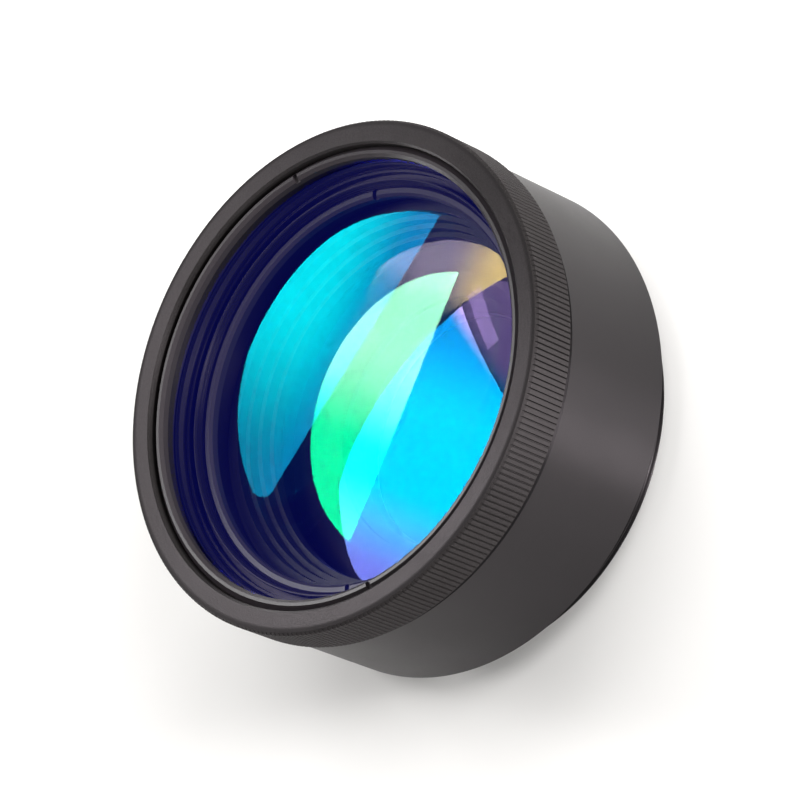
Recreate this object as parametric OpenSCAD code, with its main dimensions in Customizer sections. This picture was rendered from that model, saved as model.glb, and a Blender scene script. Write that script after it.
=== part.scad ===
// Scan lens with a flat image field, for a laser marking head.
// A threaded barrel holds three lens elements, and a knurled front ring
// holds the protective window. The lens stands on its threaded rear end
// with the window upwards. Millimetres, +Z along the optical axis.

/* [Overall] */
// Height from the rear end of the thread to the front face
total_h = 45.5; // [45.5:0.5:60]
// Diameter of the plain body
body_d = 95; // [94:0.5:96]

/* [Mounting thread] */
// Nominal diameter of the mounting thread
thread_d = 85; // [80:0.5:86]
// Length of the mounting thread, from the rear end to the seat shoulder
thread_len = 7.5; // [7.5:0.5:9]

/* [Window holder] */
// Diameter over the ribs of the knurled ring
knurl_d = 97; // [96.5:0.5:100]
// Height of the knurled ring
knurl_h = 10; // [9:0.5:10]
// Number of knurl ribs round the ring
rib_count = 290; // [60:2:320]
// Depth of the grooves between the ribs
rib_depth = 0.4; // [0.2:0.05:0.5]
// Width of the dark joint between the ring and the body
joint_gap = 0.9; // [0.3:0.1:1.2]

/* [Optics] */
// Diameter of the protective window
window_d = 86; // [84:0.5:86]
// Thickness of the protective window
window_t = 3; // [2:0.25:3]
// Diameter of the front lens
front_lens_d = 76.8; // [76:0.2:76.8]
// Diameter of the middle lens
middle_lens_d = 68.8; // [68:0.2:68.8]
// Diameter of the rear lens
rear_lens_d = 54; // [53:0.5:54]

/* [Retaining rings] */
// Width of the spanner notches
notch_w = 1.0; // [0.6:0.1:2]
// Depth of the spanner notches
notch_h = 1.0; // [0.5:0.1:1.2]
// Turn of the notches in the window's ring
window_notch_turn = 42.5; // [0:0.5:180]
// Turn of the notches in the front lens's ring
front_notch_turn = 25.5; // [0:0.5:180]

/* [Hidden] */
$fn = 180;
eps = 0.01;

// Sliding clearance between a lens edge and its bore
slip = 0.1;
// Radial clearance of the inner screwed joints
thread_play = 0.1;
chamfer = 0.4;
seal_d = 1.0;
holder_seal_d = 1.5;
// Inner radius of the groove for the holder's seal
holder_groove_r = 42.7;

// Levels, counted up from the rear end
seat_z = thread_len;
front_z = total_h;
holder_z = front_z - knurl_h;
body_top_z = holder_z - joint_gap;
rim_z = front_z - 7.5;
window_ring_z = front_z - 0.9;
window_top_z = front_z - 2.8;
window_z = window_top_z - window_t;
front_ring_z = front_z - 9.4;
front_lens_top_z = front_ring_z - 1.9;
front_lens_z = front_lens_top_z - 4.6;
spacer_step_z = front_lens_top_z - 9.9;
middle_top_z = front_lens_top_z - 13.7;
middle_z = middle_top_z - 5;
rear_lens_top_z = middle_z - 4;
rear_lens_z = rear_lens_top_z - 7;
rear_ring_z = rear_lens_z - 2.5;

// Radii of the bores and of the openings they leave
body_r = body_d / 2;
thread_r = thread_d / 2;
knurl_r = knurl_d / 2;
window_r = window_d / 2;
front_lens_r = front_lens_d / 2;
middle_lens_r = middle_lens_d / 2;
rear_lens_r = rear_lens_d / 2;
holder_bore_r = 44;
holder_lip_r = 41.7;
holder_thread_r = 46;
front_bore_r = 39;
front_open_r = 36.9;
middle_open_r = 33;
middle_seat_r = 31.5;
rear_bore_r = rear_lens_r + 1;
rear_open_r = 22.5;
rear_seat_r = 24.5;

// Radii of curvature of the lens surfaces
front_curve = 150;
middle_front_curve = 90;
middle_rear_curve = 130;
rear_front_curve = 200;
rear_rear_curve = 80;

// Rises of the spherical surfaces over their clear openings
function rise(curve, open_r) = curve - sqrt(curve * curve - open_r * open_r);

// A turned piece from its half section, given as [radius, height] points
module turned(section) {
    rotate_extrude() polygon(section);
}

// A glass disc with small safety bevels at both edges
module glass_disc(r, z, h) {
    bevel = 0.25;
    turned([
        [0, z],
        [r - bevel, z],
        [r, z + bevel],
        [r, z + h - bevel],
        [r - bevel, z + h],
        [0, z + h]
    ]);
}

// A ground spherical cap that rises from the plane z over a round opening
module crown(curve, open_r, z) {
    intersection() {
        translate([0, 0, z - (curve - rise(curve, open_r))]) sphere(curve);
        translate([0, 0, z - eps]) cylinder(r = open_r + 1, h = rise(curve, open_r) + 1);
    }
}

// The sphere that grinds a hollow upwards into the plane z
module hollow(curve, open_r, z) {
    translate([0, 0, z - (curve - rise(curve, open_r))]) sphere(curve);
}

// Two opposite spanner notches, cut down from the level z
module notches(outer_r, inner_r, z, turn) {
    for (side = [0, 180])
        rotate([0, 0, turn + side])
            translate([inner_r - 1, -notch_w / 2, z - notch_h])
                cube([outer_r - inner_r + 2, notch_w, notch_h + 1]);
}

// Main housing: one turned tube with the mounting thread, the seat
// shoulder, the stepped lens bore and the spigot for the window holder
module barrel() {
    spigot_r = holder_thread_r - 0.05;
    relief_r = thread_r - 0.8;
    undercut_r = thread_r + 0.5;
    undercut_h = 0.4;
    lens_bore_r = front_lens_r + slip;
    middle_bore_r = middle_lens_r + slip;
    rear_lens_bore_r = rear_lens_r + slip;
    lip_r = 39.6;
    land_r = 40.75;
    land_outer_r = 41.2;
    v_r = 42.2;
    groove_outer_r = holder_groove_r + holder_seal_d + 0.3;
    color("#26262a") turned([
        // rear end and mounting thread
        [rear_bore_r + 0.8, 0],
        [thread_r - 0.6, 0],
        [thread_r, 0.6],
        [thread_r, seat_z - 1.4],
        // relief behind the thread, cut into the shoulder too, so that a
        // flange seats flat outside the thread
        [relief_r, seat_z - 1.1],
        [relief_r, seat_z + undercut_h],
        [undercut_r, seat_z + undercut_h],
        [undercut_r, seat_z],
        // seat shoulder and plain body
        [body_r - chamfer, seat_z],
        [body_r, seat_z + chamfer],
        [body_r, body_top_z - chamfer],
        [body_r - chamfer, body_top_z],
        // relief and thread for the window holder
        [spigot_r - 0.9, body_top_z],
        [spigot_r - 0.9, holder_z + 0.2],
        [spigot_r, holder_z + 0.6],
        [spigot_r, rim_z - chamfer],
        [spigot_r - chamfer, rim_z],
        // seal groove, joint groove and the fine lands of the front rim
        [groove_outer_r, rim_z],
        [groove_outer_r, rim_z - holder_seal_d],
        [holder_groove_r, rim_z - holder_seal_d],
        [holder_groove_r, rim_z],
        [v_r, rim_z],
        [(v_r + land_outer_r) / 2, rim_z - 0.5],
        [land_outer_r, rim_z],
        [land_r, rim_z],
        [land_r, rim_z - 1.5],
        [lip_r, rim_z - 1.5],
        [lip_r, rim_z - 0.15],
        [lip_r - 0.15, rim_z],
        [front_bore_r + 0.25, rim_z],
        [front_bore_r, rim_z - 0.25],
        // stepped lens bore
        [front_bore_r, front_lens_top_z - 0.3],
        [lens_bore_r, front_lens_top_z - 0.3],
        [lens_bore_r, spacer_step_z - 0.3],
        [middle_bore_r, spacer_step_z - 0.3],
        [middle_bore_r, middle_z],
        [middle_seat_r, middle_z],
        [rear_seat_r + 1.5, rear_lens_top_z + 1.2],
        [rear_seat_r, rear_lens_top_z + 1.2],
        [rear_seat_r, rear_lens_top_z],
        [rear_lens_bore_r, rear_lens_top_z],
        // rear bore with the thread of the rear ring
        [rear_lens_bore_r, rear_lens_z + 0.3],
        [rear_bore_r, rear_lens_z + 0.3],
        [rear_bore_r, 0.8]
    ]);
}

// Outline of the knurl: flat-topped ribs with narrow tapered grooves
function knurl_outline() = [
    for (i = [0 : rib_count - 1])
        for (step = [[-0.32, 0], [0.32, 0], [0.43, rib_depth], [0.57, rib_depth]])
            let (a = (i + step[0]) * 360 / rib_count, r = knurl_r - step[1])
                [r * cos(a), r * sin(a)]
];

// Window holder: knurled ring that screws on the front of the barrel,
// with a lip under the window and a corner groove for its seal
module window_holder() {
    seat_bore_r = window_r + slip;
    groove_r = seat_bore_r - seal_d - 0.05;
    edge_r = knurl_r - rib_depth - 0.05;
    color("#2b2b2e") difference() {
        intersection() {
            translate([0, 0, holder_z]) linear_extrude(knurl_h) polygon(knurl_outline());
            turned([
                [0, holder_z],
                [edge_r, holder_z],
                [knurl_r + eps, holder_z + 0.5],
                [knurl_r + eps, front_z - 0.6],
                [edge_r, front_z],
                [0, front_z]
            ]);
        }
        turned([
            [0, holder_z - 1],
            [holder_thread_r + 0.4, holder_z - 1],
            [holder_thread_r + 0.4, holder_z],
            [holder_thread_r, holder_z + 0.4],
            [holder_thread_r, rim_z],
            [holder_lip_r + 0.5, rim_z],
            [holder_lip_r, rim_z + 0.5],
            [holder_lip_r, window_z],
            [groove_r, window_z],
            [groove_r, window_z - seal_d],
            [seat_bore_r, window_z - seal_d],
            [seat_bore_r, window_top_z - 0.3],
            [holder_bore_r, window_top_z - 0.3],
            [holder_bore_r, front_z - 0.4],
            [holder_bore_r + 0.4, front_z],
            [holder_bore_r + 0.4, front_z + 1],
            [0, front_z + 1]
        ]);
    }
}

// Screwed ring that clamps the window, bevelled towards the light
module window_retaining_ring() {
    outer_r = holder_bore_r - thread_play;
    face_r = 42.9;
    open_r = 41.7;
    bevel = 0.6;
    color("#3a3a3d") difference() {
        turned([
            [open_r, window_top_z],
            [outer_r, window_top_z],
            [outer_r, window_ring_z - 1],
            [face_r, window_ring_z],
            [open_r + bevel, window_ring_z],
            [open_r, window_ring_z - bevel]
        ]);
        notches(outer_r, open_r, window_ring_z, window_notch_turn);
    }
}

// Flat coated protective window
module window_glass() {
    color([0.35, 0.4, 0.75, 0.3]) glass_disc(window_r, window_z, window_t);
}

// Round rubber seal, lying in its groove
module seal(centre_r, section_d, z) {
    color("#161616") rotate_extrude()
        translate([centre_r, z + section_d / 2]) circle(d = section_d, $fn = 24);
}

// Seal between the window and its lip
module window_seal_ring() {
    seal(window_r + slip - 0.025 - seal_d / 2, seal_d, window_z - seal_d);
}

// Seal between the barrel and the window holder
module holder_seal_ring() {
    seal(holder_groove_r + 0.15 + holder_seal_d / 2, holder_seal_d, rim_z - holder_seal_d);
}

// Screwed ring that clamps the front lens, bevelled towards the light
module front_retaining_ring() {
    outer_r = front_bore_r - thread_play;
    face_r = 38.3;
    bevel = 0.5;
    color("#3a3a3d") difference() {
        turned([
            [front_open_r, front_lens_top_z],
            [outer_r, front_lens_top_z],
            [outer_r, front_ring_z - (outer_r - face_r)],
            [face_r, front_ring_z],
            [front_open_r + bevel, front_ring_z],
            [front_open_r, front_ring_z - bevel]
        ]);
        notches(outer_r, front_open_r, front_ring_z, front_notch_turn);
    }
}

// Largest element: flat behind and domed towards the window
module front_lens() {
    color([0.2, 0.5, 0.9, 0.35]) union() {
        glass_disc(front_lens_r, front_lens_z, front_lens_top_z - front_lens_z);
        crown(front_curve, front_open_r - 0.1, front_lens_top_z);
    }
}

// Stepped spacer between the front and middle lenses, terraced inside
// so that stray light is caught
module front_spacer() {
    outer_r = front_lens_r;
    nose_r = middle_lens_r - 0.1;
    terraces = 4;
    first_r = middle_open_r;
    last_r = front_open_r - 0.9;
    step_h = (front_lens_z - middle_top_z) / terraces;
    inner = [
        for (i = [terraces - 1 : -1 : 0])
            let (r = first_r + (last_r - first_r) * i / (terraces - 1))
                each [
                    [r, middle_top_z + (i + 1) * step_h],
                    [r, middle_top_z + i * step_h]
                ]
    ];
    color("#202022") turned(concat([
        [nose_r, middle_top_z],
        [nose_r, spacer_step_z],
        [outer_r, spacer_step_z],
        [outer_r, front_lens_z]
    ], inner));
}

// Meniscus element, hollow towards the rear
module middle_lens() {
    color([0.25, 0.75, 0.6, 0.35]) difference() {
        union() {
            glass_disc(middle_lens_r, middle_z, middle_top_z - middle_z);
            crown(middle_front_curve, middle_open_r - 0.2, middle_top_z);
        }
        hollow(middle_rear_curve, middle_seat_r + 0.3, middle_z);
    }
}

// Smallest element, hollow towards the rear and slightly domed in front
module rear_lens() {
    color([0.3, 0.7, 0.8, 0.35]) difference() {
        union() {
            glass_disc(rear_lens_r, rear_lens_z, rear_lens_top_z - rear_lens_z);
            crown(rear_front_curve, rear_seat_r - 0.2, rear_lens_top_z);
        }
        hollow(rear_rear_curve, rear_open_r - 0.2, rear_lens_z);
    }
}

// Screwed ring that clamps the rear lens from behind
module rear_retaining_ring() {
    outer_r = rear_bore_r - thread_play;
    bevel = 0.6;
    color("#3a3a3d") difference() {
        turned([
            [rear_open_r + bevel, rear_ring_z],
            [outer_r - 0.4, rear_ring_z],
            [outer_r, rear_ring_z + 0.4],
            [outer_r, rear_lens_z],
            [rear_open_r, rear_lens_z],
            [rear_open_r, rear_ring_z + bevel]
        ]);
        translate([0, 0, 2 * rear_ring_z]) mirror([0, 0, 1])
            notches(outer_r, rear_open_r, rear_ring_z, 0);
    }
}

barrel();
window_holder();
window_retaining_ring();
window_glass();
window_seal_ring();
holder_seal_ring();
front_retaining_ring();
front_lens();
front_spacer();
middle_lens();
rear_lens();
rear_retaining_ring();
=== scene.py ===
import math

import bpy
import numpy as np
from mathutils import Matrix, Vector


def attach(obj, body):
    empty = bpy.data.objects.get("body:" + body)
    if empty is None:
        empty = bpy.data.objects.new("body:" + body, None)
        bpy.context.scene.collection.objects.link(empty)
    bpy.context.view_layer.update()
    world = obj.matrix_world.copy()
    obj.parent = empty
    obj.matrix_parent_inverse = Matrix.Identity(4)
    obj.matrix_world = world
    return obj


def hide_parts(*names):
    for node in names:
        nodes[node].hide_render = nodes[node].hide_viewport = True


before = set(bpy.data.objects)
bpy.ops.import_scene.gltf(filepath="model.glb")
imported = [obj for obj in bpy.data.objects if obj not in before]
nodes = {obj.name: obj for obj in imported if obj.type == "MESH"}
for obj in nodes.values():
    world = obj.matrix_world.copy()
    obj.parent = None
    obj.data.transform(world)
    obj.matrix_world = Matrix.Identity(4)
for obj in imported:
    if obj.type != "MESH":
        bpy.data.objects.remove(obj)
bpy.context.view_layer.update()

# ---- Barrel ----
# One tube turned from an aluminium bar, blasted and anodised satin black.
# The mounting thread is cut on its rear spigot, and the stepped bore takes
# the lenses from the front and the back.

# Radii and heights are in millimetres, counted from the axis and the rear end
MM = 0.001
BARREL_STEPS = 480
CHAMFER = 0.4
SHARP_EDGE = 30.0
# Mounting thread, the relief behind it and the shoulder that it screws up to. The
# helical groove of a thread fades out towards its ends
THREAD_R, THREAD_PITCH, THREAD_DEPTH, THREAD_CHAMFER = 42.5, 1.0, 0.55, 0.6
THREAD_FROM_Z, THREAD_TO_Z, THREAD_ROWS, THREAD_ENDS = 0.6, 6.1, 56, (0.4, 6.3)
RELIEF_R, RELIEF_Z = 41.7, 6.4
UNDERCUT_R, UNDERCUT_H, SEAT_Z = 43.0, 0.4, 7.5
# Plain body, and the spigot that the window holder screws on
BODY_R, BODY_TOP_Z, BODY_RINGS_Z = 47.5, 34.6, (14, 21, 28)
SPIGOT_R, SPIGOT_NECK_R, SPIGOT_NECK_Z, SPIGOT_Z = 45.95, 45.05, 35.7, 36.1
# Front rim: the seal's groove, a fine V groove, a land and a lip
RIM_Z, RIM_GROOVE_Z = 38.0, 36.5
SEAL_GROOVE_OUT_R, SEAL_GROOVE_IN_R = 44.5, 42.7
V_OUT_R, V_IN_R, V_DEPTH = 42.2, 41.2, 0.5
LAND_R, LIP_R, LIP_BREAK = 40.75, 39.6, 0.15
# Front bore, with the thread of the front lens's ring
FRONT_BORE_R, FRONT_BORE_BREAK, FRONT_THREAD_PITCH, FRONT_THREAD_DEPTH = 39.0, 0.25, 0.75, 0.32
FRONT_THREAD_FROM_Z, FRONT_THREAD_TO_Z, FRONT_THREAD_ROWS, FRONT_THREAD_ENDS = 37.7, 33.95, 51, (33.8, 37.9)
# Steps of the bore, from the front lens down to the rear lens
FRONT_LENS_BORE_R, FRONT_STEP_Z = 38.5, 33.9
MIDDLE_BORE_R, MIDDLE_STEP_Z = 34.5, 24.0
MIDDLE_SEAT_R, MIDDLE_SEAT_Z = 31.5, 15.5
CONE_R, CONE_Z = 26.0, 12.7
REAR_SEAT_R, REAR_SEAT_Z = 24.5, 11.5
REAR_LENS_BORE_R, REAR_STEP_Z = 27.1, 4.8
# Rear bore, with the thread of the rear lens's ring
REAR_BORE_R, REAR_BORE_CHAMFER, REAR_THREAD_PITCH, REAR_THREAD_DEPTH = 28.0, 0.8, 0.75, 0.32
REAR_THREAD_FROM_Z, REAR_THREAD_TO_Z, REAR_THREAD_ROWS, REAR_THREAD_ENDS = 4.7, 0.85, 49, (0.8, 4.8)


def mesh_piece(name, points, faces, sharp=None):
    """A piece of the scene from corner points in metres and a list of faces. It is shaded
    round, apart from edges that turn by more than the sharp angle, where one is given."""
    mesh = bpy.data.meshes.new(name)
    mesh.from_pydata(points.tolist(), [], faces)
    mesh.polygons.foreach_set("use_smooth", np.ones(len(mesh.polygons), dtype=bool))
    if sharp is not None:
        mesh.set_sharp_from_angle(angle=math.radians(sharp))
    piece = bpy.data.objects.new(name, mesh)
    bpy.context.scene.collection.objects.link(piece)
    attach(piece, "root")
    return piece


def turned(name, height, radius):
    """A closed profile carried round the optical axis, on a grid of profile rows by
    angles: x = r cos t, y = r sin t, z = h. The radius may change with the angle, and
    the profile runs anticlockwise, with the radius to the right and Z up."""
    rows, steps = radius.shape
    t = np.arange(steps) * (2 * np.pi / steps)
    grid = np.stack([radius * np.cos(t), radius * np.sin(t), height[:, None] * np.ones(steps)], -1)
    i, j = np.meshgrid(np.arange(rows), np.arange(steps), indexing="ij")
    up, side = (i + 1) % rows, (j + 1) % steps
    faces = np.stack([i * steps + j, i * steps + side, up * steps + side, up * steps + j], -1)
    return mesh_piece(name, grid.reshape(-1, 3) * MM, faces.reshape(-1, 4).tolist(), SHARP_EDGE)


def plain(*corners):
    """Profile rows through (radius, height) corners, with the same radius all round."""
    radius, height = np.array(corners, float).T
    return height, radius[:, None] * np.ones(BARREL_STEPS)


def threaded(start, end, rows, crest, depth, pitch, ends):
    """Profile rows of a screw thread from one height to another: the crest's radius less
    a groove of the given depth, or plus it where the depth is negative, in a bore. The
    groove is a trapezium wave of z / pitch minus the share of a turn, and it fades out
    over half a pitch towards the two heights at its ends."""
    z = np.linspace(start, end, rows)
    wave = (z[:, None] / pitch - np.arange(BARREL_STEPS) / BARREL_STEPS) % 1.0
    flank, crest_width = 3.2, 0.3
    groove = np.clip((0.5 - np.abs(wave - 0.5)) * flank - crest_width, 0, 1)
    fade = np.clip(np.minimum(z - ends[0], ends[1] - z) / (0.5 * pitch), 0, 1)[:, None]
    return z, crest - depth * groove * fade


barrel_rows = [
    plain((REAR_BORE_R + REAR_BORE_CHAMFER, 0), (THREAD_R - THREAD_CHAMFER, 0)),
    threaded(THREAD_FROM_Z, THREAD_TO_Z, THREAD_ROWS, THREAD_R, THREAD_DEPTH, THREAD_PITCH, THREAD_ENDS),
    plain((RELIEF_R, RELIEF_Z), (RELIEF_R, SEAT_Z + UNDERCUT_H), (UNDERCUT_R, SEAT_Z + UNDERCUT_H),
          (UNDERCUT_R, SEAT_Z), (BODY_R - CHAMFER, SEAT_Z), (BODY_R, SEAT_Z + CHAMFER),
          *((BODY_R, z) for z in BODY_RINGS_Z),
          (BODY_R, BODY_TOP_Z - CHAMFER), (BODY_R - CHAMFER, BODY_TOP_Z),
          (SPIGOT_NECK_R, BODY_TOP_Z), (SPIGOT_NECK_R, SPIGOT_NECK_Z),
          (SPIGOT_R, SPIGOT_Z), (SPIGOT_R, RIM_Z - CHAMFER), (SPIGOT_R - CHAMFER, RIM_Z),
          (SEAL_GROOVE_OUT_R, RIM_Z), (SEAL_GROOVE_OUT_R, RIM_GROOVE_Z),
          (SEAL_GROOVE_IN_R, RIM_GROOVE_Z), (SEAL_GROOVE_IN_R, RIM_Z),
          (V_OUT_R, RIM_Z), ((V_OUT_R + V_IN_R) / 2, RIM_Z - V_DEPTH), (V_IN_R, RIM_Z),
          (LAND_R, RIM_Z), (LAND_R, RIM_GROOVE_Z), (LIP_R, RIM_GROOVE_Z),
          (LIP_R, RIM_Z - LIP_BREAK), (LIP_R - LIP_BREAK, RIM_Z), (FRONT_BORE_R + FRONT_BORE_BREAK, RIM_Z)),
    threaded(FRONT_THREAD_FROM_Z, FRONT_THREAD_TO_Z, FRONT_THREAD_ROWS, FRONT_BORE_R,
             -FRONT_THREAD_DEPTH, FRONT_THREAD_PITCH, FRONT_THREAD_ENDS),
    plain((FRONT_BORE_R, FRONT_STEP_Z), (FRONT_LENS_BORE_R, FRONT_STEP_Z),
          (FRONT_LENS_BORE_R, MIDDLE_STEP_Z), (MIDDLE_BORE_R, MIDDLE_STEP_Z),
          (MIDDLE_BORE_R, MIDDLE_SEAT_Z), (MIDDLE_SEAT_R, MIDDLE_SEAT_Z),
          (CONE_R, CONE_Z), (REAR_SEAT_R, CONE_Z), (REAR_SEAT_R, REAR_SEAT_Z),
          (REAR_LENS_BORE_R, REAR_SEAT_Z), (REAR_LENS_BORE_R, REAR_STEP_Z)),
    threaded(REAR_THREAD_FROM_Z, REAR_THREAD_TO_Z, REAR_THREAD_ROWS, REAR_BORE_R,
             -REAR_THREAD_DEPTH, REAR_THREAD_PITCH, REAR_THREAD_ENDS),
]
barrel = turned("lens_barrel", np.concatenate([height for height, _ in barrel_rows]),
                np.concatenate([radius for _, radius in barrel_rows]))


def node_group(name, inputs, outputs):
    """An empty shader node group with named sockets: each input is given as (name, kind,
    value) and each output as (name, kind)."""
    group = bpy.data.node_groups.new(name, "ShaderNodeTree")
    for socket, kind, value in inputs:
        group.interface.new_socket(socket, in_out="INPUT", socket_type=kind).default_value = value
    for socket, kind in outputs:
        group.interface.new_socket(socket, in_out="OUTPUT", socket_type=kind)
    return group, group.nodes.new("NodeGroupInput"), group.nodes.new("NodeGroupOutput")


def maths(tree, operation, a, b=None, clamp=False):
    """One Math node; a and b are sockets or numbers."""
    node = tree.nodes.new("ShaderNodeMath")
    node.operation = operation
    node.use_clamp = clamp
    for socket, value in zip(node.inputs, (a, b)):
        if isinstance(value, (int, float)):
            socket.default_value = value
        elif value is not None:
            tree.links.new(value, socket)
    return node.outputs["Value"]


def vectors(tree, operation, a, b=None, scale=None, out="Vector"):
    """One Vector Math node; a is a socket, b a socket or three numbers, and scale a
    socket. It gives out the socket named, Vector or Value."""
    node = tree.nodes.new("ShaderNodeVectorMath")
    node.operation = operation
    tree.links.new(a, node.inputs[0])
    if isinstance(b, tuple):
        node.inputs[1].default_value = b
    elif b is not None:
        tree.links.new(b, node.inputs[1])
    if scale is not None:
        tree.links.new(scale, node.inputs["Scale"])
    return node.outputs[out]


def noise(tree, vector, scale, detail, rough=0.55):
    """One Noise Texture node on the given coordinates; scale is a socket or a number."""
    node = tree.nodes.new("ShaderNodeTexNoise")
    node.inputs["Detail"].default_value = detail
    node.inputs["Roughness"].default_value = rough
    tree.links.new(vector, node.inputs["Vector"])
    if isinstance(scale, (int, float)):
        node.inputs["Scale"].default_value = scale
    else:
        tree.links.new(scale, node.inputs["Scale"])
    return node.outputs["Fac"]


def mixed(tree, share, a, b):
    """A colour between a and b, by a share from 0 to 1; a and b are sockets or colours."""
    node = tree.nodes.new("ShaderNodeMix")
    node.data_type = "RGBA"
    tree.links.new(share, node.inputs["Factor"])
    for socket, value in ((node.inputs[6], a), (node.inputs[7], b)):
        if isinstance(value, bpy.types.NodeSocket):
            tree.links.new(value, socket)
        else:
            socket.default_value = (*value, 1.0)
    return node.outputs[2]


def ranged(tree, value, low, high, to_low, to_high):
    """A value carried from one range to another, held at both ends."""
    node = tree.nodes.new("ShaderNodeMapRange")
    tree.links.new(value, node.inputs["Value"])
    for socket, number in zip(("From Min", "From Max", "To Min", "To Max"), (low, high, to_low, to_high)):
        node.inputs[socket].default_value = number
    return node.outputs["Result"]


def place_on(tree):
    """The place on the object, in metres from the middle of its rear end."""
    return tree.nodes.new("ShaderNodeTexCoord").outputs["Object"]


def axis_distance(tree, place):
    """How far a place is from the optical axis: the length of (x, y, 0)."""
    return vectors(tree, "LENGTH", vectors(tree, "MULTIPLY", place, (1.0, 1.0, 0.0)), out="Value")


# Blasted grain under the anodised skin: fine pits for the bump, and a tone that is half
# fine specks and half clouds of a centimetre or two, where the dye took more or less
CLOUDS_PER_METRE, SPECKS_PER_METRE = 60.0, 5200.0
grain, grain_in, grain_out = node_group(
    "blasted_grain",
    [("Pits per metre", "NodeSocketFloat", 4200.0), ("Tone spread", "NodeSocketFloat", 0.3)],
    [("Height", "NodeSocketFloat"), ("Tone", "NodeSocketFloat")])
grain_place = place_on(grain)
pits = noise(grain, grain_place, grain_in.outputs["Pits per metre"], 4.0, 0.65)
cloud = noise(grain, grain_place, CLOUDS_PER_METRE, 3.0)
speck = ranged(grain, noise(grain, grain_place, SPECKS_PER_METRE, 2.0), 0.30, 0.70, 0.0, 1.0)
tone = maths(grain, "ADD", maths(grain, "MULTIPLY", cloud, 0.5), maths(grain, "MULTIPLY", speck, 0.5))
tone_change = maths(grain, "MULTIPLY", maths(grain, "SUBTRACT", tone, 0.5), grain_in.outputs["Tone spread"])
grain.links.new(pits, grain_out.inputs["Height"])
grain.links.new(maths(grain, "ADD", tone_change, 0.5, clamp=True), grain_out.inputs["Tone"])

# Marks of the turning tool: fine circles round the axis, by the radius and the height
turning, turning_in, turning_out = node_group(
    "turning_marks",
    [("Lines per metre", "NodeSocketFloat", 9000.0)],
    [("Height", "NodeSocketFloat")])
turning_place = place_on(turning)
turning_split = turning.nodes.new("ShaderNodeSeparateXYZ")
turning.links.new(turning_place, turning_split.inputs["Vector"])
turning_circle = turning.nodes.new("ShaderNodeCombineXYZ")
turning.links.new(axis_distance(turning, turning_place), turning_circle.inputs["X"])
turning.links.new(turning_split.outputs["Z"], turning_circle.inputs["Y"])
turning_lines = noise(turning, turning_circle.outputs["Vector"], turning_in.outputs["Lines per metre"], 2.0)
turning.links.new(turning_lines, turning_out.inputs["Height"])


def anodised(name, dark, light, rough, bump, pits_per_metre=4200.0, marks=0.0, spread=1.0, streak=0.0,
             coarse_rim=None):
    """Black anodised aluminium: a tone between dark and light from the blasted grain,
    a satin roughness that changes with it, and a bump (in mm) of pits and turning marks.
    streak draws its highlights out across the circles that the turning tool left, and
    coarse_rim is (radius from, radius to, roughness added) of a coarser outer part."""
    roughness_swing = 0.08
    material = bpy.data.materials.new(name)
    material.use_nodes = True
    tree = material.node_tree
    shader = tree.nodes["Principled BSDF"]
    skin = tree.nodes.new("ShaderNodeGroup")
    skin.node_tree = grain
    skin.inputs["Pits per metre"].default_value = pits_per_metre
    skin.inputs["Tone spread"].default_value = spread
    height = skin.outputs["Height"]
    if marks:
        circles = tree.nodes.new("ShaderNodeGroup")
        circles.node_tree = turning
        height = maths(tree, "ADD", height, maths(tree, "MULTIPLY", circles.outputs["Height"], marks))
    relief = tree.nodes.new("ShaderNodeBump")
    relief.inputs["Distance"].default_value = bump * MM
    relief.inputs["Strength"].default_value = 1.0
    tree.links.new(height, relief.inputs["Height"])
    tree.links.new(relief.outputs["Normal"], shader.inputs["Normal"])
    tree.links.new(mixed(tree, skin.outputs["Tone"], dark, light), shader.inputs["Base Color"])
    satin = ranged(tree, skin.outputs["Tone"], 0.0, 1.0, rough - roughness_swing, rough + roughness_swing)
    if coarse_rim:
        rim_from, rim_to, rim_added = coarse_rim
        radius = axis_distance(tree, place_on(tree))
        satin = maths(tree, "ADD", satin, ranged(tree, radius, rim_from * MM, rim_to * MM, 0.0, rim_added))
    tree.links.new(satin, shader.inputs["Roughness"])
    if streak:
        shader.inputs["Specular IOR Level"].default_value = 0.34
        shader.inputs["Specular Tint"].default_value = (1.0, 0.88, 0.94, 1.0)
        circle_way = tree.nodes.new("ShaderNodeTangent")
        circle_way.direction_type = "RADIAL"
        circle_way.axis = "Z"
        tree.links.new(circle_way.outputs["Tangent"], shader.inputs["Tangent"])
        shader.inputs["Anisotropic"].default_value = streak
        shader.inputs["Anisotropic Rotation"].default_value = 0.25
    return material


def dress(piece, material):
    """Gives a piece or a node this material."""
    piece.data.materials.clear()
    piece.data.materials.append(material)


body_black = anodised("body_anodised_black", (0.005, 0.0047, 0.005), (0.013, 0.0120, 0.0124),
                      rough=0.34, bump=0.009, streak=0.92)
dress(barrel, body_black)
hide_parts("barrel")

# ---- Window holder ----
# The knurled ring that screws on the front of the barrel and carries the
# window. Its face is blasted, and it is anodised black. Its outer edge and
# its rolled ribs are coarser than the face, so they shine less.
holder_black = anodised("holder_anodised_black", (0.009, 0.0083, 0.0081), (0.030, 0.0270, 0.0268),
                        rough=0.38, bump=0.032, pits_per_metre=2300.0, spread=1.6, streak=0.7,
                        coarse_rim=(47.0, 47.6, 0.30))
dress(nodes["window_holder"], holder_black)

# ---- Seals ----
# Two moulded rubber rings, one under the window and one behind the holder.
# Plain matt black rubber with a faint mould bloom.
rubber = anodised("seal_rubber_black", (0.008, 0.008, 0.008), (0.016, 0.016, 0.016),
                  rough=0.62, bump=0.006, pits_per_metre=2600.0)
for seal in ("window_seal_ring", "holder_seal_ring"):
    dress(nodes[seal], rubber)

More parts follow.
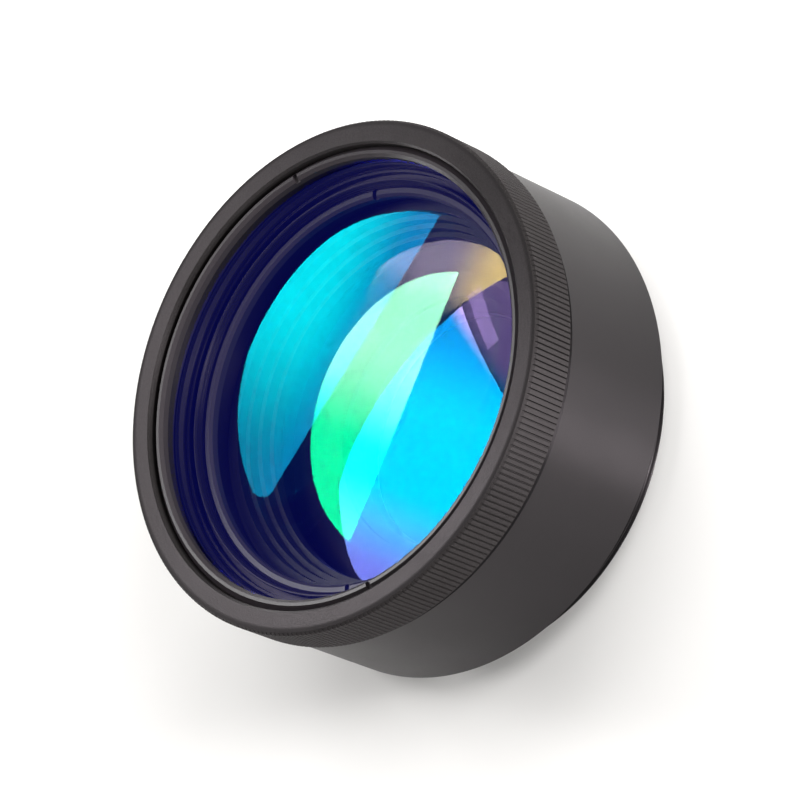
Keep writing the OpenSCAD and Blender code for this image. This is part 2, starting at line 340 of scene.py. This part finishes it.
# ---- Retaining rings ----
# Three thin screwed rings hold the window, the front lens and the rear lens.
# They are turned, left with fine tool circles, and anodised black.
ring_black = anodised("ring_anodised_black", (0.028, 0.023, 0.027), (0.048, 0.040, 0.046),
                      rough=0.36, bump=0.006, pits_per_metre=3600.0, marks=1.2)
for ring in ("window_retaining_ring", "front_retaining_ring", "rear_retaining_ring"):
    dress(nodes[ring], ring_black)

# ---- Spacer ----
# The terraced sleeve between the front and middle lenses, in a matt black
# that swallows stray light. Its steps are turned.
inner_black = anodised("inner_anodised_black", (0.010, 0.010, 0.012), (0.020, 0.020, 0.024),
                       rough=0.5, bump=0.008, pits_per_metre=3600.0, marks=1.0)
dress(nodes["front_spacer"], inner_black)

# ---- Glass ----
# A flat window and three lenses, ground and polished, with blackened edges.
# Each face carries a hard laser coating that mirrors part of the colours and
# lets the rest through, so every face is a thin tinted mirror.

# Share of the way across a lens, from one straight line to another
across, across_in, across_out = node_group(
    "way_across",
    [("Direction", "NodeSocketVector", (1.0, 0.0, 0.0)), ("From", "NodeSocketFloat", -0.03),
     ("To", "NodeSocketFloat", 0.03)],
    [("Share", "NodeSocketFloat")])
across_range = across.nodes.new("ShaderNodeMapRange")
across_range.interpolation_type = "SMOOTHSTEP"
across_way = vectors(across, "DOT_PRODUCT", place_on(across), across_in.outputs["Direction"], out="Value")
across.links.new(across_way, across_range.inputs["Value"])
across.links.new(across_in.outputs["From"], across_range.inputs["From Min"])
across.links.new(across_in.outputs["To"], across_range.inputs["From Max"])
across.links.new(across_range.outputs["Result"], across_out.inputs["Share"])

# A ground lens in front bends what the faces behind it mirror. These bends are fitted
# values, not traced through real glass, and the mesh stays as it is. The normal of such a
# face is the dome's own, n = z + dome * (x, y), less bend * max(p.q - start, least) * q,
# a slope that grows evenly along the direction q
bent, bent_in, bent_out = node_group(
    "bent_face",
    [("Dome", "NodeSocketFloat", 0.0), ("Direction", "NodeSocketVector", (0.0, 1.0, 0.0)),
     ("Start", "NodeSocketFloat", 0.0), ("Least", "NodeSocketFloat", -1.0),
     ("Bend", "NodeSocketFloat", 10.0)],
    [("Normal", "NodeSocketVector")])
bent_place = place_on(bent)
bent_along = vectors(bent, "DOT_PRODUCT", bent_place, bent_in.outputs["Direction"], out="Value")
bent_past = maths(bent, "MAXIMUM", maths(bent, "SUBTRACT", bent_along, bent_in.outputs["Start"]),
                  bent_in.outputs["Least"])
bent_slope = vectors(bent, "SCALE", bent_in.outputs["Direction"],
                     scale=maths(bent, "MULTIPLY", bent_past, bent_in.outputs["Bend"]))
bent_dome = vectors(bent, "SCALE", vectors(bent, "MULTIPLY", bent_place, (1.0, 1.0, 0.0)),
                    scale=bent_in.outputs["Dome"])
bent_sum = vectors(bent, "SUBTRACT", vectors(bent, "ADD", bent_dome, (0.0, 0.0, 1.0)), bent_slope)
bent.links.new(vectors(bent, "NORMALIZE", bent_sum), bent_out.inputs["Normal"])

COATING_ROUGHNESS = 0.02
FACE_RINGS, FACE_STEPS = 40, 180


def coating(name, tint, share, changes=(), bend=None, dome=None):
    """A laser coating: a tinted mirror that covers only a share of what lies behind it.
    changes are (colour, direction, from, to) in mm across the face. bend is the
    (direction, start in mm, slope per metre) of a face that is seen through a lens, and
    dome the curve of a domed one in mm, which is bent only past the start."""
    material = bpy.data.materials.new(name)
    material.use_nodes = True
    tree = material.node_tree
    shader = tree.nodes["Principled BSDF"]
    shader.inputs["Base Color"].default_value = (*tint, 1.0)
    shader.inputs["Metallic"].default_value = 1.0
    shader.inputs["Roughness"].default_value = COATING_ROUGHNESS
    shader.inputs["Alpha"].default_value = share
    for colour, direction, start, end in changes:
        way = tree.nodes.new("ShaderNodeGroup")
        way.node_tree = across
        way.inputs["Direction"].default_value = Vector((*direction, 0.0)).normalized()
        way.inputs["From"].default_value = start * MM
        way.inputs["To"].default_value = end * MM
        tint = mixed(tree, way.outputs["Share"], tint, colour)
    if changes:
        tree.links.new(tint, shader.inputs["Base Color"])
    if bend:
        direction, start, slope = bend
        tilt = tree.nodes.new("ShaderNodeGroup")
        tilt.node_tree = bent
        tilt.inputs["Direction"].default_value = Vector((*direction, 0.0)).normalized()
        tilt.inputs["Start"].default_value = start * MM
        tilt.inputs["Bend"].default_value = slope
        if dome:
            tilt.inputs["Dome"].default_value = 1.0 / (dome * MM)
            tilt.inputs["Least"].default_value = 0.0
        tree.links.new(tilt.outputs["Normal"], shader.inputs["Normal"])
    return material


def lens_face(name, centre_z, rim_r, dome=None):
    """A thin polished face: a disc of even rings at the height z, or z less
    r^2 / (dome + sqrt(dome^2 - r^2)), the drop of a sphere, where it is domed."""
    r = np.linspace(0, rim_r, FACE_RINGS)
    drop = r * r / (dome + np.sqrt(dome * dome - r * r)) if dome else np.zeros(FACE_RINGS)
    t = np.arange(FACE_STEPS) * (2 * np.pi / FACE_STEPS)
    rings = np.stack([np.outer(r[1:], np.cos(t)), np.outer(r[1:], np.sin(t)),
                      np.repeat((centre_z - drop[1:])[:, None], FACE_STEPS, 1)], -1).reshape(-1, 3)
    points = np.concatenate([[[0, 0, centre_z]], rings]) * MM
    i, j = np.meshgrid(np.arange(FACE_RINGS - 2), np.arange(FACE_STEPS), indexing="ij")
    ring, next_ring, side = 1 + i * FACE_STEPS, 1 + (i + 1) * FACE_STEPS, (j + 1) % FACE_STEPS
    quads = np.stack([ring + j, next_ring + j, next_ring + side, ring + side], -1).reshape(-1, 4)
    k = np.arange(FACE_STEPS)
    fan = np.stack([np.zeros(FACE_STEPS, int), 1 + k, 1 + (k + 1) % FACE_STEPS], -1)
    return mesh_piece(name, points, quads.tolist() + fan.tolist())


# The window mirrors a trace of blue all over
WINDOW_BLUE = (0.02, 0.03, 1.0)
window_face = lens_face("window_face", 42.7, 42.9)
dress(window_face, coating("window_coating", WINDOW_BLUE, 0.14))
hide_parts("window_glass")

# The front lens shows as its rear face, cyan that darkens to two sides
CYAN = (0.0, 0.90, 0.98)
DARK_TEAL = (0.0, 0.24, 0.36)
DARK_BLUE = (0.0, 0.24, 0.52)
front_back_face = lens_face("front_lens_rear_face", 29.7, 37.66)
dress(front_back_face, coating(
    "front_lens_rear_coating", CYAN, 0.12,
    changes=[(DARK_TEAL, (-1.0, 0.0), -12.0, 22.0), (DARK_BLUE, (0.0, -1.0), -28.0, -8.0)],
    bend=((0.21, 0.978), 12.0, 23.0)))
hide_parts("front_lens")

# The middle lens's domed front face: sky blue, turning violet to one side, deep blue to
# the other and lavender at that edge
SKY_BLUE = (0.0, 0.58, 0.98)
VIOLET = (0.14, 0.17, 0.66)
DEEP_BLUE = (0.0, 0.26, 0.66)
LAVENDER = (0.55, 0.38, 0.85)
MIDDLE_DOME = 110.0
middle_face = lens_face("middle_lens_face", 25.6, 34.3, dome=MIDDLE_DOME)
dress(middle_face, coating(
    "middle_lens_coating", SKY_BLUE, 0.13,
    changes=[(VIOLET, (-1.0, 0.0), 14.0, 31.0), (DEEP_BLUE, (1.0, 0.0), 0.0, 18.0),
             (LAVENDER, (0.9, -0.43), 17.0, 21.0)],
    bend=((-1.0, 0.0), 12.0, 10.0), dome=MIDDLE_DOME))

# A mauve and gold ring, taken for the edge of its rear face. It sits where it seems to
# be through the glass, inside the lens's solid, 4.5 mm above the solid's rear face
MAUVE = (0.32, 0.27, 0.34)
GOLD = (1.0, 0.74, 0.24)
FADED = (0.03, 0.06, 0.04)
middle_rim_face = lens_face("middle_lens_rim_face", 20.0, 33.6)
dress(middle_rim_face, coating(
    "middle_lens_rim_coating", MAUVE, 0.12,
    changes=[(GOLD, (0.0, -1.0), -8.0, 6.0), (FADED, (-1.0, 0.0), -25.0, -18.0)],
    bend=((0.9, 0.43), 12.0, 18.0)))

# A green disc that pales across, taken for its rear face, 2.95 mm above the solid's own.
# Which lens this green belongs to is a guess
GREEN = (0.0, 0.95, 0.34)
PALE_GREEN = (0.36, 1.0, 0.60)
middle_back_face = lens_face("middle_lens_rear_face", 18.45, 27.5)
dress(middle_back_face, coating(
    "middle_lens_rear_coating", GREEN, 0.15,
    changes=[(PALE_GREEN, (1.0, 0.0), -10.0, 8.0)], bend=((0.0, 1.0), 5.0, 10.5)))
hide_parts("middle_lens")

# The rear lens is the smallest: clear glass with a faint green cast
rear_glass = bpy.data.materials.new("rear_lens_glass")
rear_glass.use_nodes = True
rear_shader = rear_glass.node_tree.nodes["Principled BSDF"]
rear_shader.inputs["Base Color"].default_value = (0.86, 0.97, 0.95, 1.0)
rear_shader.inputs["Roughness"].default_value = 0.01
rear_shader.inputs["IOR"].default_value = 1.5
rear_shader.inputs["Transmission Weight"].default_value = 1.0
dress(nodes["rear_lens"], rear_glass)

# ---- Camera ----
# A long lens looks down at the front rim, turned so that the axis points up
# to the left. Its aim and distance are in metres.
AIM = Vector((0.0008, 0.0, 0.0255))
ELEVATION = math.radians(45.76)
ROLL = math.radians(67.27)
DISTANCE = 0.8954
LENS = 219.1
SENSOR = 36.0
back = Vector((0.0, -math.cos(ELEVATION), math.sin(ELEVATION)))
camera_data = bpy.data.cameras.new("camera")
camera_data.lens = LENS
camera_data.sensor_width = SENSOR
camera_data.clip_start = 0.05
camera_data.clip_end = 80.0
camera = bpy.data.objects.new("camera", camera_data)
scene = bpy.context.scene
scene.collection.objects.link(camera)
facing = back.to_track_quat("Z", "Y").to_matrix().to_4x4()
camera.matrix_world = Matrix.Translation(AIM + back * DISTANCE) @ facing @ Matrix.Rotation(-ROLL, 4, "Z")
scene.camera = camera

# ---- Table and room ----
# A wide matt white table in a dim, even room. Its own lamps light it to
# white, and it keeps the soft shadow of the lens.
scene.view_settings.view_transform = "Standard"
ROOM_STRENGTH = 0.15
TABLE_HALF = 30
world = bpy.data.worlds.new("studio_room")
scene.world = world
world.use_nodes = True
world.node_tree.nodes["Background"].inputs["Color"].default_value = (1, 1, 1, 1)
world.node_tree.nodes["Background"].inputs["Strength"].default_value = ROOM_STRENGTH

table_corners = [(-TABLE_HALF, -TABLE_HALF, 0), (TABLE_HALF, -TABLE_HALF, 0),
                 (TABLE_HALF, TABLE_HALF, 0), (-TABLE_HALF, TABLE_HALF, 0)]
table_mesh = bpy.data.meshes.new("table")
table_mesh.from_pydata(table_corners, [], [(0, 1, 2, 3)])
table = bpy.data.objects.new("table", table_mesh)
scene.collection.objects.link(table)
table_white = bpy.data.materials.new("table_white")
table_white.use_nodes = True
table_shader = table_white.node_tree.nodes["Principled BSDF"]
table_shader.inputs["Base Color"].default_value = (0.80, 0.788, 0.772, 1.0)
table_shader.inputs["Roughness"].default_value = 1.0
table_shader.inputs["Specular IOR Level"].default_value = 0.0
dress(table, table_white)

# ---- Lamps ----
# Softboxes round the table, and taller ones that only the coated faces
# mirror. Places and sizes are in metres.
LAMP_AIM = Vector((0, 0, 0.02))


def lit_only(name, lamps, things, state="INCLUDE"):
    """Lets these lamps light only these things, or all but these with EXCLUDE."""
    receivers = bpy.data.collections.new(name)
    for thing in things:
        receivers.objects.link(thing)
    for entry in receivers.collection_objects:
        entry.light_linking.link_state = state
    for lamp in lamps:
        lamp.light_linking.receiver_collection = receivers


def area_lamp(name, place, turn, width, height, power):
    """A rectangular area lamp, turned from one that shines straight down."""
    data = bpy.data.lights.new(name, "AREA")
    data.shape = "RECTANGLE"
    data.size = width
    data.size_y = height
    data.energy = power
    lamp = bpy.data.objects.new(name, data)
    lamp.matrix_world = Matrix.Translation(place) @ turn.to_4x4()
    scene.collection.objects.link(lamp)
    return lamp


def softbox(name, azimuth, elevation, distance, width, height, power):
    """A softbox on a sphere round the lens, turned to face it."""
    a, e = math.radians(azimuth), math.radians(elevation)
    way = Vector((math.cos(e) * math.cos(a), math.cos(e) * math.sin(a), math.sin(e)))
    turn = way.to_track_quat("Z", "Y").to_matrix()
    return area_lamp(name, LAMP_AIM + way * distance, turn, width, height, power)


# Low boxes round the table draw the soft stripes on the black body, and two high ones
# light the front rim. They light neither the table nor the coated faces.
BODY_BOXES = [
    softbox("stripe_front", -76, 6, 1.3, 0.4, 0.3, 21.0),
    softbox("stripe_front_right", -58, 6, 1.3, 0.3, 0.3, 6.0),
    softbox("stripe_front_left", -100, 6, 1.3, 0.4, 0.3, 1.6),
    softbox("stripe_right", 60, 6, 1.3, 0.4, 0.3, 3.5),
    softbox("stripe_back", 130, 6, 1.3, 0.4, 0.3, 3.0),
    softbox("rim_top", 90, 75, 1.3, 0.5, 0.5, 2.4),
    softbox("rim_near", 102, 57, 0.200, 0.09, 0.09, 0.20),
]
# The table has its own boxes, low ones for the long faint shadows and high ones for
# the dark patch beside the lens
TABLE_BOXES = [
    softbox("table_%d_%d" % (azimuth, elevation), azimuth, elevation, distance, size, size, power)
    for azimuth, elevation, distance, size, power in (
        (-60, 6, 1.3, 0.35, 38.7),
        (100, 6, 1.3, 0.35, 27.6),
        (0, 6, 1.3, 0.35, 13.6),
        (20, 6, 1.3, 0.35, 4.9),
        (40, 6, 1.3, 0.35, 11.0),
        (60, 6, 1.3, 0.35, 7.3),
        (30, 65, 1.3, 0.8, 4.8),
        (-30, 22, 1.3, 0.8, 3.9),
        (90, 40, 1.3, 0.5, 7.5),
        (-60, 40, 1.3, 0.5, 2.1),
        (0, 65, 1.3, 0.8, 1.0),
        (-60, 45, 0.45, 0.2, 0.84))
]
# One more shines down into the bore, on two rings and the terraced spacer only
inner_box = softbox("inner", 15, 58, 0.7, 0.3, 0.3, 1.4)
lit_only("bore_only", [inner_box],
         [nodes["front_spacer"], nodes["front_retaining_ring"], nodes["window_retaining_ring"]])
lit_only("all_but_table_and_coated_faces", BODY_BOXES,
         [table, window_face, front_back_face, middle_face, middle_rim_face, middle_back_face], "EXCLUDE")
lit_only("table_only", TABLE_BOXES, [table])


def mirrored_box(name, centre, right, away, width, height, glow, face):
    """A softbox that only one coated face mirrors, set where its straight edge shows in
    that face. right is the direction of its width and away that of its back. glow is
    its radiance: power = pi * area * radiance."""
    back_way = Vector(away).normalized()
    side_way = Vector(right)
    side_way = (side_way - back_way * side_way.dot(back_way)).normalized()
    up_way = back_way.cross(side_way)
    turn = Matrix((side_way, up_way, back_way)).transposed()
    lamp = area_lamp(name, Vector(centre), turn, width, height, math.pi * width * height * glow)
    lit_only(name + "_faces", [lamp], [face])


MIDDLE_RIGHT = (0.9395, -0.2412, 0.2434)
MIDDLE_AWAY = (0.0244, 0.7558, 0.6544)
mirrored_box("box_front_rear", (0.0744, 0.1491, 0.9355), (0.983, -0.1249, 0.1347),
             (-0.0954, 0.2797, 0.9553), 0.45, 1.2, 9.5, front_back_face)
mirrored_box("box_middle", (-0.2077, 0.5254, 0.8019), MIDDLE_RIGHT, MIDDLE_AWAY,
             0.855, 0.62, 17.0, middle_face)
mirrored_box("box_middle_side", (0.3852, 0.3732, 0.9553), MIDDLE_RIGHT, MIDDLE_AWAY,
             0.4, 0.62, 2.2, middle_face)
mirrored_box("box_middle_streak", (0.3104, 0.5387, 0.7671), MIDDLE_RIGHT, MIDDLE_AWAY,
             0.045, 0.24, 3.6, middle_face)
mirrored_box("box_middle_rear", (-0.0329, 0.424, 0.8141), (0.9875, -0.1348, 0.0816),
             (0.0006, 0.5212, 0.8534), 0.3, 0.52, 20.0, middle_back_face)
mirrored_box("box_middle_rim", (-0.2277, 0.5734, 0.6779), (0.7925, 0.5786, -0.1928),
             (-0.2408, 0.5873, 0.7727), 0.52, 0.2, 12.0, middle_rim_face)
mirrored_box("box_window", (0.0, 0.72, 0.76), (1.0, 0.0, 0.0),
             (0.0, 0.698, 0.716), 0.7, 0.7, 0.20, window_face)
